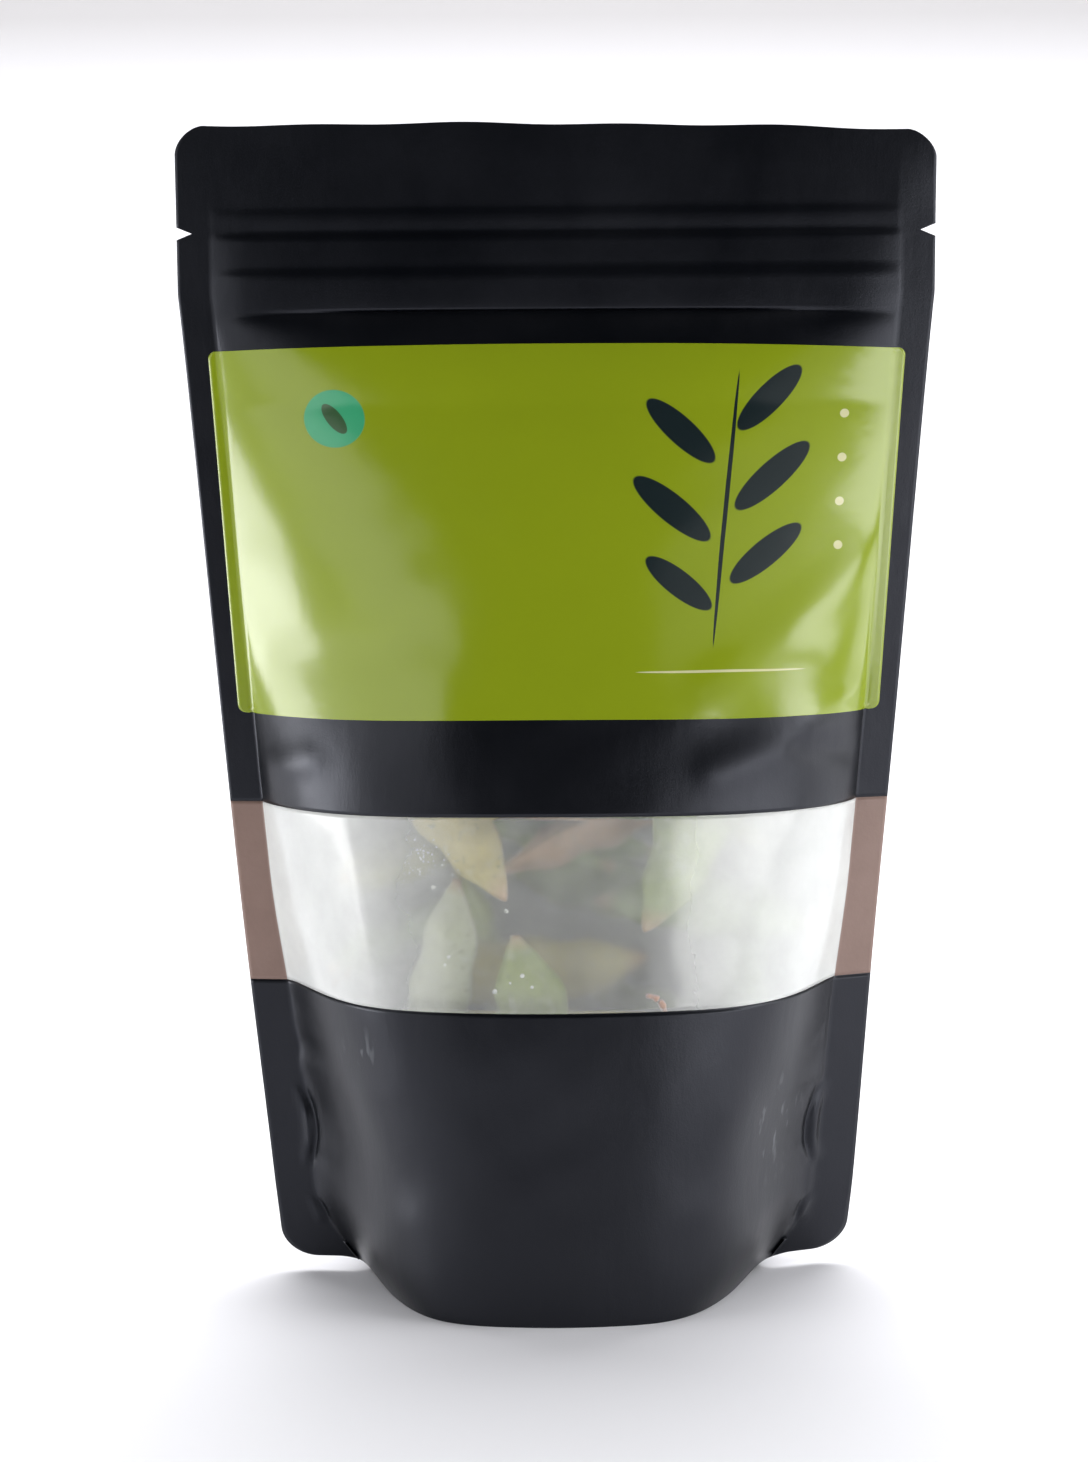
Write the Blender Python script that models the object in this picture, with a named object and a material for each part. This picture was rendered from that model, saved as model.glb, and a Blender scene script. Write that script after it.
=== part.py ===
"""A filled, heat sealed stand-up pouch of edamame pods, standing on its opened base gusset.

Metres, +Z up. The front faces -Y. The origin is under the middle of the pouch, on the surface that it stands on.
"""

import math
import random

import bmesh
import bpy
import numpy as np
from mathutils import Matrix, Vector

# Pouch, as it stands
POUCH_WIDTH = 0.160
POUCH_HEIGHT = 0.248
FILL_TOP = 0.213
SIDE_DRAW_IN = 0.018
DRAW_IN_CURVE = 0.93
SEAL_WIDTH = 0.0071
SEAL_WIDENS = 0.0014
WIDE_BELOW = 0.090
WIDENS_OVER = 0.035
TOP_CORNER_RADIUS = 0.0055
EAR_RADIUS = 0.007
EAR_LIFT = 0.003
LIFT_FADES_BY = 0.020
LIFT_STARTS = 0.036
LIFT_OVER = 0.014

# The filled body: its half depth up the middle
BODY_TOP = 0.2095
BASE_HALF_DEPTH = 0.0395
BELLY_CURVE = 1.6
BELLY_FULLNESS = 0.62

# Its shape across, by height: part box with pinched edges, part lens
SHAPE_HEIGHTS = (0.0, 0.012, 0.030, 0.0657, 0.1055, 0.140)
LENS_SHARES = (0.20, 0.24, 0.28, 0.35, 0.35, 0.0)
BOXINESSES = (6.0, 4.9, 4.3, 6.5, 4.5, 2.3)
PINCHES = (2.2, 2.15, 2.1, 1.7, 0.8, 0.95)

# Film
FILM = 0.0004
GAP = 0.0003
HALF_GAP = GAP / 2

# Where the two front panels meet the clear band, and the label
WINDOW_FOOT = 0.0657
WINDOW_HEAD = 0.1055
LABEL_FOOT = 0.1252
LABEL_HEAD = 0.2016
LABEL_INSET = 0.0048
LABEL_THICKNESS = 0.0003
FOLD_MITRE = 1.6
SHARP_ANGLE = 40
SAMPLE_ACROSS = 0.002
SAMPLE_UP = 0.0004

# Heights of the rows between the borders, and the angles of the rows round a corner
LOWER_ROWS = (0.014, 0.024, 0.036, 0.050)
WINDOW_ROWS = (0.076, 0.086, 0.096)
LABEL_ROWS = (0.140, 0.155, 0.170, 0.183, 0.193)
SHELF_ROWS = (0.205, 0.2078)
BACK_ROWS = (0.068, 0.090, 0.112, 0.134, 0.156, 0.175, 0.190, 0.200)
ABOVE_BODY = 0.001
ABOVE_ZIP = 0.236
ROUNDING_ANGLES = (0, 30, 50, 70, 90)

# Zip and tear notch
ZIP_MIDDLE = 0.2215
ZIP_TALL = 0.008
ZIP_HALF_LENGTH = 0.0685
ZIP_ROOM = 0.0011
ZIP_ROOM_BELOW = 0.0060
ZIP_ROOM_ABOVE = 0.0072
ZIP_ROOM_OPENS = 0.0015
ZIP_ROOM_CLOSES = 0.0024
ZIP_END_SHARPNESS = 80
RIB_HALF = 0.0005
LIP_INNER = 0.0010
LIP_OUTER = 0.0015
NOTCH_HEIGHT = 0.2260
NOTCH_DEEP = 0.0032
NOTCH_HALF_TALL = 0.0012

# Base seal, where the front, back and gusset films are joined
SEAL_SWEEP = 0.0083
SEAL_SWEEP_TALL = 0.020
SKIRT_FOOT = 0.001
SKIRT_TALL = 0.0045
SKIRT_GAP = 0.0006
PANEL_INSET = 0.93
PANEL_DROP = 0.3
PANEL_FLAT = 0.45
PANEL_ROWS = (0.85, 0.66, PANEL_FLAT, 0.0)

# Pods
POD_SEED = 41
POD_COUNT = 34
POD_LENGTHS = (0.046, 0.060)
POD_HALF_WIDTHS = (0.0066, 0.0076)
POD_FLATNESS = 0.68
POD_BENDS = (0.002, 0.006)
STEM_BLUNTNESS = 2.6
TIP_BLUNTNESS = 2.0
TAPER_CURVE = 0.8
NECK_WIDTH = 0.86
NECK_THICKNESS = 0.70
BEAN_SPACING = 1.25
RINGS_OF_THREE = (-0.93, -0.78, -0.53, -0.27, 0.0, 0.27, 0.53, 0.78, 0.93)
RINGS_OF_TWO = (-0.93, -0.72, -0.40, -0.20, 0.0, 0.20, 0.40, 0.72, 0.93)
BALL_PLACES = [-0.96 + 0.16 * step for step in range(13)]
POD_SIDES = 8
POD_CLEARANCE = 0.0011
POD_TRIES = 900
POD_TILT = 28
POD_REACH = ((-0.05, 0.05), (-0.03, 0.03), (0.006, 0.19))
FILM_CLEARANCE = 0.0008
SEAM_CLEARANCE = 0.995
VIEW_HALF_WIDE = 0.042
VIEW_DEPTH = -0.008

# Share of the sheet's half width, from the middle to the side seal's inner edge
SEAM = 0.9
ACROSS = (0.0, 0.18, 0.35, 0.50, 0.62, 0.70, 0.765, 0.83, SEAM, 1.0)


def clear_scene():
    for found in list(bpy.data.objects):
        bpy.data.objects.remove(found, do_unlink=True)


def smooth(value):
    share = np.clip(value, 0.0, 1.0)
    return share * share * (3.0 - 2.0 * share)


def half_width(height):
    """Outer edge of the side seals. Filling the body draws the sides in, most at the base."""
    down = np.clip(1.0 - height / FILL_TOP, 0.0, 1.0)
    return POUCH_WIDTH / 2 - SIDE_DRAW_IN * down**DRAW_IN_CURVE


def seam_at(height):
    """Inner edge of the side seals, which are wider under the clear band and sweep in over the base seal."""
    wider = SEAL_WIDENS * smooth((WIDE_BELOW - height) / WIDENS_OVER)
    sweep = np.clip(1.0 - height / SEAL_SWEEP_TALL, 0.0, 1.0)
    return half_width(height) - SEAL_WIDTH - wider - SEAL_SWEEP * sweep**2


def rounded_edge(height):
    """Outer edge with the rounded ears at the base and the rounded corners at the top."""
    edge = float(half_width(height))
    for radius, from_end in ((EAR_RADIUS, height), (TOP_CORNER_RADIUS, POUCH_HEIGHT - height)):
        if from_end < radius:
            edge -= radius - math.sqrt(radius**2 - (radius - from_end) ** 2)
    if abs(height - NOTCH_HEIGHT) < 1e-6:
        edge -= NOTCH_DEEP
    return edge


def swell(height):
    """How far the filled body stands out at its middle."""
    up = np.clip(height / BODY_TOP, 0.0, 1.0)
    return BASE_HALF_DEPTH * (1.0 - up**BELLY_CURVE) ** BELLY_FULLNESS


def zip_swell(height):
    """How far the zip strips hold the films apart."""
    below = np.clip((height - (ZIP_MIDDLE - ZIP_ROOM_BELOW)) / ZIP_ROOM_OPENS, 0.0, 1.0)
    above = np.clip(((ZIP_MIDDLE + ZIP_ROOM_ABOVE) - height) / ZIP_ROOM_CLOSES, 0.0, 1.0)
    return ZIP_ROOM * below * above


def bulge(across, height):
    """Distance of a film from the seal plane, where across runs from 0 at the middle to 1 at the seam."""
    across = np.clip(across, 0.0, 1.0)
    boxiness = np.interp(height, SHAPE_HEIGHTS, BOXINESSES)
    pinch = np.interp(height, SHAPE_HEIGHTS, PINCHES)
    lens = np.interp(height, SHAPE_HEIGHTS, LENS_SHARES)
    box = np.maximum(0.0, 1.0 - across**boxiness) ** pinch
    body = (1.0 - lens) * box + lens * (1.0 - across**2)
    over_zip = 1.0 - across**ZIP_END_SHARPNESS
    return HALF_GAP + swell(height) * body + zip_swell(height) * over_zip


def ear_lift(x, height):
    """The ears of the base stand a little clear of the surface."""
    fade = max(0.0, 1.0 - height / LIFT_FADES_BY)
    return EAR_LIFT * float(smooth((abs(x) - LIFT_STARTS) / LIFT_OVER)) * fade


def film_point(across, height, facing):
    """Point on a film's inner face. The facing is -1 for the front and 1 for the back."""
    side = -1.0 if across < 0 else 1.0
    share = abs(across)
    seam = float(seam_at(height))
    if share <= SEAM:
        x = seam * share / SEAM
    else:
        x = seam + (rounded_edge(height) - seam) * (share - SEAM) / (1.0 - SEAM)
    y = facing * float(bulge(share / SEAM, height))
    return Vector((side * x, y, height + ear_lift(x, height)))


def film_normal(across, height, facing):
    """Direction out of the pouch at that point."""
    left = film_point(max(-SEAM, across - SAMPLE_ACROSS), height, facing)
    right = film_point(min(SEAM, across + SAMPLE_ACROSS), height, facing)
    low = film_point(across, max(0.0, height - SAMPLE_UP), facing)
    high = film_point(across, min(POUCH_HEIGHT, height + SAMPLE_UP), facing)
    if abs(across) >= SEAM:
        return Vector((0.0, facing, 0.0))
    out = (right - left).cross(high - low).normalized()
    return out if out.y * facing > 0 else -out


def columns(outermost=1.0):
    """Stations across a sheet, mirrored about its middle."""
    half = [share for share in ACROSS if share < outermost] + [outermost]
    return [-share for share in reversed(half[1:])] + half


def material(name, colour, roughness, alpha=1.0):
    made = bpy.data.materials.new(name)
    made.use_nodes = True
    shader = made.node_tree.nodes["Principled BSDF"]
    shader.inputs["Base Color"].default_value = (*colour, 1.0)
    shader.inputs["Roughness"].default_value = roughness
    shader.inputs["Metallic"].default_value = 0.0
    shader.inputs["Alpha"].default_value = alpha
    made.diffuse_color = (*colour, alpha)
    return made


def add_object(name, mesh, finish):
    made = bpy.data.objects.new(name, mesh)
    made.data.materials.append(finish)
    bpy.context.scene.collection.objects.link(made)
    return made


def add_sheet(name, rows, thickness, toward, finish):
    """A thin sheet from rows of points, split into triangles alike on both faces and thickened toward a direction."""
    body = bmesh.new()
    grid = [[body.verts.new(point) for point in row] for row in rows]
    for low, high in zip(grid, grid[1:]):
        for i in range(len(low) - 1):
            if i < (len(low) - 1) // 2:
                body.faces.new((low[i], low[i + 1], high[i]))
                body.faces.new((low[i + 1], high[i + 1], high[i]))
            else:
                body.faces.new((low[i], low[i + 1], high[i + 1]))
                body.faces.new((low[i], high[i + 1], high[i]))
    bmesh.ops.recalc_face_normals(body, faces=body.faces)
    body.faces.ensure_lookup_table()
    middle = body.faces[len(body.faces) // 2]
    middle.normal_update()
    if middle.normal.dot(toward) < 0:
        bmesh.ops.reverse_faces(body, faces=body.faces)
    mesh = bpy.data.meshes.new(name)
    body.to_mesh(mesh)
    body.free()
    made = add_object(name, mesh, finish)
    thicken = made.modifiers.new("Film thickness", "SOLIDIFY")
    thicken.thickness = thickness
    thicken.offset = 1.0
    made.data.shade_smooth()
    made.data.set_sharp_from_angle(angle=math.radians(SHARP_ANGLE))
    return made


def film_rows(heights, facing, outermost=1.0, lift=0.0):
    """Rows of points over a film, lifted off its inner face by a distance, and by more at the fold of the seams."""
    rows = []
    for height in heights:
        row = []
        for across in columns(outermost):
            point = film_point(across, height, facing)
            mitre = FOLD_MITRE if abs(across) >= SEAM else 1.0
            row.append(point + film_normal(across, height, facing) * lift * mitre)
        rows.append(row)
    return rows


def rounding_heights(radius, start, direction):
    """Heights of the stations round a corner, measured from the end of the sheet."""
    return [start + direction * radius * (1.0 - math.cos(math.radians(angle))) for angle in ROUNDING_ANGLES]


def lower_heights():
    return rounding_heights(EAR_RADIUS, 0.0, 1.0) + [*LOWER_ROWS, WINDOW_FOOT - GAP]


def window_heights():
    return [WINDOW_FOOT, *WINDOW_ROWS, WINDOW_HEAD]


def label_heights():
    return [LABEL_FOOT, *LABEL_ROWS, LABEL_HEAD]


def notch_heights():
    return [NOTCH_HEIGHT - NOTCH_HALF_TALL, NOTCH_HEIGHT, NOTCH_HEIGHT + NOTCH_HALF_TALL]


def top_heights():
    """From the shelf over the contents, past the zip, to the top edge."""
    shelf = [*SHELF_ROWS, BODY_TOP - GAP, BODY_TOP + ABOVE_BODY]
    shelf += [ZIP_MIDDLE - ZIP_ROOM_BELOW, ZIP_MIDDLE - ZIP_ROOM_BELOW + ZIP_ROOM_OPENS]
    corner = list(reversed(rounding_heights(TOP_CORNER_RADIUS, POUCH_HEIGHT, -1.0)))
    return shelf + notch_heights() + [ZIP_MIDDLE + ZIP_ROOM_ABOVE, ABOVE_ZIP] + corner


def add_films(black, clear):
    out = Vector((0.0, -1.0, 0.0))
    add_sheet("film_front_lower", film_rows(lower_heights(), -1), FILM, out, black)
    add_sheet("film_front_window", film_rows(window_heights(), -1), FILM, out, clear)
    upper = [WINDOW_HEAD + GAP] + label_heights() + top_heights()
    add_sheet("film_front_upper", film_rows(upper, -1), FILM, out, black)
    back = lower_heights()[:-1] + [*BACK_ROWS] + top_heights()
    add_sheet("film_back", film_rows(back, 1), FILM, -out, black)


def add_label(green):
    outermost = 1.0 - (1.0 - SEAM) * LABEL_INSET / SEAL_WIDTH
    rows = film_rows(label_heights(), -1, outermost, FILM + GAP)
    add_sheet("label_front", rows, LABEL_THICKNESS, Vector((0.0, -1.0, 0.0)), green)


def panel_height(y, half_depth, top):
    """Height of the gusset's upper face: flat in the middle, rising to the top of the skirt all round."""
    middle = np.maximum(FILM, top - PANEL_DROP * half_depth)
    share = np.abs(y) / np.maximum(half_depth, 1e-6)
    return middle + (top - middle) * smooth((share - PANEL_FLAT) / (1.0 - PANEL_FLAT))


def add_gusset(black):
    """A skirt against each film, and between them the panel that the pouch stands on."""
    across = [share for share in columns() if abs(share) < SEAM]
    skirt = []
    for height in (SKIRT_FOOT, SKIRT_TALL):
        row = []
        for share in across:
            row.append(film_point(share, height, -1) - film_normal(share, height, -1) * SKIRT_GAP)
        skirt.append(row)
    panel = []
    for share_out in PANEL_ROWS:
        row = []
        for share in across:
            half_depth = float(bulge(abs(share) / SEAM, SKIRT_TALL))
            height = float(panel_height(half_depth * share_out, half_depth, SKIRT_TALL))
            edge = film_point(share * PANEL_INSET, height, -1)
            row.append(Vector((edge.x, edge.y * share_out, edge.z)))
        panel.append(row)
    front = skirt + panel
    back = [[Vector((point.x, -point.y, point.z)) for point in row] for row in reversed(front[:-1])]
    add_sheet("gusset_base", front + back, FILM, Vector((0.0, 0.0, -1.0)), black)


def add_extrusion(name, outline, half_length, finish):
    """A strip along X with the outline given as (y, z) points."""
    body = bmesh.new()
    ends = []
    for x in (-half_length, half_length):
        ends.append([body.verts.new((x, y, z)) for y, z in outline])
    body.faces.new(ends[0])
    body.faces.new(list(reversed(ends[1])))
    for i in range(len(outline)):
        j = (i + 1) % len(outline)
        body.faces.new((ends[0][i], ends[1][i], ends[1][j], ends[0][j]))
    bmesh.ops.recalc_face_normals(body, faces=body.faces)
    mesh = bpy.data.meshes.new(name)
    body.to_mesh(mesh)
    body.free()
    return add_object(name, mesh, finish)


def add_zip(plastic):
    """The back strip's rib sits in the front strip's groove."""
    outer = HALF_GAP + ZIP_ROOM - GAP
    inner = outer - FILM
    reach = inner - FILM
    low, high = ZIP_MIDDLE - ZIP_TALL / 2, ZIP_MIDDLE + ZIP_TALL / 2
    groove = [(-outer, low), (-inner, low)]
    for near, far in ((-LIP_OUTER, -LIP_INNER), (LIP_INNER, LIP_OUTER)):
        groove += [(-inner, ZIP_MIDDLE + near), (reach, ZIP_MIDDLE + near)]
        groove += [(reach, ZIP_MIDDLE + far), (-inner, ZIP_MIDDLE + far)]
    groove += [(-inner, high), (-outer, high)]
    add_extrusion("zip_strip_front", groove, ZIP_HALF_LENGTH, plastic)
    ribbed = [(outer, low), (inner, low), (inner, ZIP_MIDDLE - RIB_HALF), (-reach, ZIP_MIDDLE - RIB_HALF)]
    ribbed += [(-reach, ZIP_MIDDLE + RIB_HALF), (inner, ZIP_MIDDLE + RIB_HALF), (inner, high), (outer, high)]
    add_extrusion("zip_strip_back", ribbed, ZIP_HALF_LENGTH, plastic)


class Pod:
    """One pod: its size, its number of beans, its bend and where it lies."""

    def __init__(self, rng, length=None, beans=None, half_width=None):
        self.length = length or rng.uniform(*POD_LENGTHS)
        self.half_width = half_width or rng.uniform(*POD_HALF_WIDTHS)
        self.beans = beans or rng.choice((2, 3, 3))
        self.bend = rng.uniform(*POD_BENDS)
        self.pose = Matrix.Identity(4)

    def half_sizes(self, along):
        """Half width and half thickness where along runs from -1 at the stem end to 1 at the tip."""
        blunt = STEM_BLUNTNESS if along < 0 else TIP_BLUNTNESS
        taper = max(0.0, 1.0 - abs(along) ** blunt) ** TAPER_CURVE
        phase = 0 if self.beans == 3 else math.pi
        filled = 0.5 + 0.5 * math.cos(math.pi * self.beans * along * BEAN_SPACING + phase)
        wide = self.half_width * taper * (NECK_WIDTH + (1 - NECK_WIDTH) * filled)
        thick = self.half_width * POD_FLATNESS * taper * (NECK_THICKNESS + (1 - NECK_THICKNESS) * filled)
        return wide, thick

    def middle(self, along):
        """Point on the pod's curved middle line, in its own frame: X along, Z across its width."""
        return Vector((along * self.length / 2, 0.0, self.bend * (0.5 - along**2)))

    def stations(self):
        """Rings where the beans and the necks between them are, closer at both ends."""
        return RINGS_OF_THREE if self.beans == 3 else RINGS_OF_TWO

    def balls(self):
        """Balls that fill the pod, as (centre, radius), to keep pods from meeting."""
        found = []
        for along in BALL_PLACES:
            wide, thick = self.half_sizes(along)
            spread = max(0.0, wide - thick)
            for side in (-1, 1):
                centre = self.middle(along) + Vector((0.0, 0.0, side * spread))
                found.append((*centre, thick))
        return np.array(found)

    def mesh(self, name):
        body = bmesh.new()
        rings = []
        for along in self.stations():
            wide, thick = self.half_sizes(along)
            ring = []
            for side in range(POD_SIDES):
                turn = 2 * math.pi * side / POD_SIDES
                offset = Vector((0.0, thick * math.sin(turn), wide * math.cos(turn)))
                ring.append(body.verts.new(self.middle(along) + offset))
            rings.append(ring)
        for first, second in zip(rings, rings[1:]):
            for i in range(POD_SIDES):
                j = (i + 1) % POD_SIDES
                body.faces.new((first[i], first[j], second[j], second[i]))
        for ring, along in ((rings[0], -1.0), (rings[-1], 1.0)):
            pole = body.verts.new(self.middle(along))
            for i in range(POD_SIDES):
                body.faces.new((ring[i], ring[(i + 1) % POD_SIDES], pole))
        bmesh.ops.triangulate(body, faces=body.faces)
        bmesh.ops.recalc_face_normals(body, faces=body.faces)
        mesh = bpy.data.meshes.new(name)
        body.to_mesh(mesh)
        body.free()
        mesh.shade_smooth()
        return mesh


def pose(centre, heading, tilt, roll):
    """Places a pod: heading turns it about Z from +X, tilt raises its tip, roll turns it about its own length."""
    turn = Matrix.Rotation(math.radians(heading), 4, "Z") @ Matrix.Rotation(math.radians(-tilt), 4, "Y")
    return Matrix.Translation(centre) @ turn @ Matrix.Rotation(math.radians(roll), 4, "X")


def moved(balls, where):
    turned = np.array(where.to_3x3())
    return np.column_stack((balls[:, :3] @ turned.T + np.array(where.translation), balls[:, 3]))


def inside_pouch(balls):
    """True if every ball lies within the films and above the gusset."""
    reach = balls[:, 3] + FILM_CLEARANCE
    diagonal = math.sqrt(0.5)
    ways = [(1, 0, 0), (-1, 0, 0), (0, 1, 0), (0, -1, 0), (0, 0, 1), (0, 0, -1)]
    ways += [(sx * diagonal, sy * diagonal, 0) for sx in (-1, 1) for sy in (-1, 1)]
    ways += [(0, sy * diagonal, diagonal) for sy in (-1, 1)]
    for way in ways:
        x, y, z = (balls[:, axis] + way[axis] * reach for axis in range(3))
        if (z < 0).any():
            return False
        across = np.abs(x) / seam_at(z)
        if (across > SEAM_CLEARANCE).any() or (np.abs(y) > bulge(across, z)).any():
            return False
        under = panel_height(y, bulge(np.abs(x) / seam_at(SKIRT_TALL), SKIRT_TALL), SKIRT_TALL)
        if (z < under).any():
            return False
    return True


def clear_of(balls, others):
    if not others:
        return True
    placed = np.concatenate(others)
    apart = np.linalg.norm(balls[:, None, :3] - placed[None, :, :3], axis=2)
    return bool((apart > balls[:, None, 3] + placed[None, :, 3] + POD_CLEARANCE).all())


# Pods that lie against the clear band: beans, half width, stem end, tip, and roll away from lying flat to the front
WINDOW_PODS = (
    (3, 0.0074, (-0.0400, -0.0085, 0.1220), (-0.0101, -0.0260, 0.0888), 15),
    (3, 0.0066, (-0.0205, -0.0190, 0.0905), (-0.0320, -0.0200, 0.0450), 25),
    (3, 0.0080, (-0.0082, -0.0240, 0.0800), (-0.0030, -0.0260, 0.0330), 5),
    (3, 0.0074, (0.0305, -0.0150, 0.1260), (0.0200, -0.0270, 0.0803), -10),
    (3, 0.0070, (-0.0125, -0.0120, 0.0920), (0.0330, 0.0030, 0.1080), 60),
)


def pose_between(stem, tip, roll):
    """Places a pod with its stem end and its tip at two points. At a roll of 0 it lies flat to the front."""
    line = (Vector(tip) - Vector(stem)).normalized()
    across = line.cross(Vector((0.0, 1.0, 0.0))).normalized()
    turn = Matrix((line, across.cross(line), across)).transposed().to_4x4()
    middle = (Vector(tip) + Vector(stem)) / 2
    return Matrix.Translation(middle) @ turn @ Matrix.Rotation(math.radians(roll), 4, "X")


def hides_window_pods(balls):
    """True if a pod would lie in the space kept behind the clear band for the pods placed there."""
    x, y, z = balls[:, 0], balls[:, 1], balls[:, 2]
    near = (np.abs(x) < VIEW_HALF_WIDE) & (y < VIEW_DEPTH) & (z > WINDOW_FOOT) & (z < WINDOW_HEAD)
    return bool(near.any())


def placed_pods():
    """The pods against the clear band first, then the rest, each the lowest clear place of many seeded tries."""
    rng = random.Random(POD_SEED)
    pods, filled = [], []
    for beans, half_wide, stem, tip, roll in WINDOW_PODS:
        pod = Pod(rng, (Vector(tip) - Vector(stem)).length, beans, half_wide)
        pod.pose = pose_between(stem, tip, roll)
        pods.append(pod)
        filled.append(moved(pod.balls(), pod.pose))
    while len(pods) < POD_COUNT:
        pod = Pod(rng)
        balls = pod.balls()
        best = None
        for _ in range(POD_TRIES):
            centre = Vector([rng.uniform(*span) for span in POD_REACH])
            where = pose(centre, rng.uniform(0, 360), rng.gauss(0, POD_TILT), rng.uniform(0, 360))
            if best and centre.z >= best[0]:
                continue
            tried = moved(balls, where)
            if inside_pouch(tried) and clear_of(tried, filled) and not hides_window_pods(tried):
                best = (centre.z, where, tried)
        if best:
            pod.pose = best[1]
            pods.append(pod)
            filled.append(best[2])
    return pods


def add_pods(skin):
    for number, pod in enumerate(placed_pods(), 1):
        name = f"pod_{number:02d}"
        made = add_object(name, pod.mesh(name), skin)
        made.matrix_world = pod.pose


def main():
    clear_scene()
    black = material("black film", (0.012, 0.014, 0.019), 0.5)
    clear = material("clear film", (0.75, 0.77, 0.76), 0.3, 0.4)
    green = material("green label", (0.20, 0.29, 0.012), 0.2)
    plastic = material("zip plastic", (0.6, 0.6, 0.58), 0.4)
    skin = material("pod skin", (0.32, 0.38, 0.10), 0.55)
    add_films(black, clear)
    add_label(green)
    add_gusset(black)
    add_zip(plastic)
    add_pods(skin)


main()
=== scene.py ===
"""Looks of a filled stand-up pouch of edamame pods: black film with a clear band, glossy label, and pods."""

import math
import random

import bmesh
import bpy
import numpy as np
from mathutils import Matrix, Vector


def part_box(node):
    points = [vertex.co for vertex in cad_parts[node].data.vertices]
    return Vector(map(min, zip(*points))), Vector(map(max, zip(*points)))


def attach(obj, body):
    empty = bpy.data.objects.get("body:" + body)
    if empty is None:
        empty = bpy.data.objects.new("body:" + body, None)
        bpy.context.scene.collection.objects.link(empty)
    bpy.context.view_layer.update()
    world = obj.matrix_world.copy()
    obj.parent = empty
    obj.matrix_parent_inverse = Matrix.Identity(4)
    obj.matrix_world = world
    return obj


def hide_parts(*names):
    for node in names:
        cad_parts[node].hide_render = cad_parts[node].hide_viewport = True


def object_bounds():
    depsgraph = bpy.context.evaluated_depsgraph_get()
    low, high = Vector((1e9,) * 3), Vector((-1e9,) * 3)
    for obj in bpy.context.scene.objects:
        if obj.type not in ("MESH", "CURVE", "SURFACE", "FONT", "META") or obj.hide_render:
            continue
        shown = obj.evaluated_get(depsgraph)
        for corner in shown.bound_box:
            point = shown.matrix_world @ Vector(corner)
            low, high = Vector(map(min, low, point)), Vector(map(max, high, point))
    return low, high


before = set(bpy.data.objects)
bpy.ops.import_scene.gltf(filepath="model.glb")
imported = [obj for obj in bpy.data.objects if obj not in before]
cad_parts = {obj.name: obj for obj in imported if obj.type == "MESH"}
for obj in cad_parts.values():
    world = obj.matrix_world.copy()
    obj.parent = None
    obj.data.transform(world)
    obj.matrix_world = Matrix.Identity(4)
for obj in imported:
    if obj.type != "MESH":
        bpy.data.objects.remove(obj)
CAD_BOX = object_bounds()

# The pouch's driving sizes, in metres, as in the part's source
WIDTH = CAD_BOX[1].x - CAD_BOX[0].x
HEIGHT = 0.2485
FILL_TOP = 0.213
SIDE_DRAW_IN = 0.018
DRAW_IN_POWER = 0.93
SIDE_BOW = 0.0007
BODY_TOP = 0.2083
BASE_HALF_DEPTH = 0.0395
TAPER_POWER = 1.6
TAPER_ROUNDNESS = 0.62
SEAL_WIDE = 0.0071
SEAL_WIDER_LOW = 0.0014
SEAL_WIDER_BELOW = 0.090
SEAL_WIDENS_OVER = 0.035
SEAL_SWEEP = 0.0083
SEAL_SWEEP_TALL = 0.020
SEAM = 0.9
EAR_RADIUS = 0.0075
EAR_LIFT = 0.003
EAR_BEGINS = 0.036
EAR_RISES_OVER = 0.014
LIFT_FADES_BY = 0.020
TOP_CORNER_RADIUS = 0.0062
TOP_CORNER_SQUARENESS = 1.7
NOTCH_HEIGHT = 0.2260
NOTCH_DEEP = 0.0032
NOTCH_HALF_TALL = 0.0013
HALF_GAP = 0.00012
FILM = 0.00018

# Heights at the side seams where the clear band and the label begin and end. They stand higher in the middle
WINDOW_FOOT = 0.0655
WINDOW_HEAD = 0.1049
LABEL_FOOT = 0.1243
LABEL_HEAD = 0.2014
RISE_HEIGHTS = (0.0, WINDOW_FOOT, WINDOW_HEAD, LABEL_FOOT, 0.1600, LABEL_HEAD, 0.2095)
RISES = (0.0, 0.0003, 0.0012, 0.0016, 0.0014, 0.0005, 0.0)
LABEL_CORNER = 0.0017
LABEL_INSET = 0.0038
LABEL_INSET_GROWS = 0.0012
LABEL_LIFT = 0.00028
LABEL_THICKNESS = 0.00014

# Distances between rows of points on the films and the label
FOOT_ROW = 0.0010
BAND_ROW = 0.0008
HEAD_ROW = 0.0007
LABEL_ROW = 0.0010

# The body's shape across, by height: part box with pinched edges, part lens
SHAPE_HEIGHTS = (0.0, 0.012, 0.030, 0.0657, 0.1055, 0.140)
BOXINESSES = (6.0, 4.9, 4.3, 6.5, 4.5, 2.3)
PINCHES = (2.2, 2.15, 2.1, 1.7, 0.8, 0.95)
LENS_SHARES = (0.20, 0.24, 0.28, 0.35, 0.35, 0.0)
SHAPE_FINE = np.linspace(0.0, 0.21, 211)
SOFTENING = np.hanning(23)[1:-1] / np.hanning(23).sum()

# How the pouch leans to the right low down, and how its base shifts to the left
LEAN = 0.0008
LEANS_BELOW = 0.09
LEANS_OVER = 0.08
BASE_SHIFT = 0.0013
BASE_SHIFT_TALL = 0.030

# The top edge's waves as (height, rate, start), and its dip toward the right end
TOP_WAVES = ((0.0002, 88, 0.6), (0.00018, 190, 2.0))
TOP_DIP = 0.0016
TOP_DIP_BEGINS = -0.010
TOP_DIP_WIDE = 0.090
TOP_DIP_POWER = 1.3
TOP_SEAL_FOOT = 0.2315
TOP_SEAL_TALL = 0.0165

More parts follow.
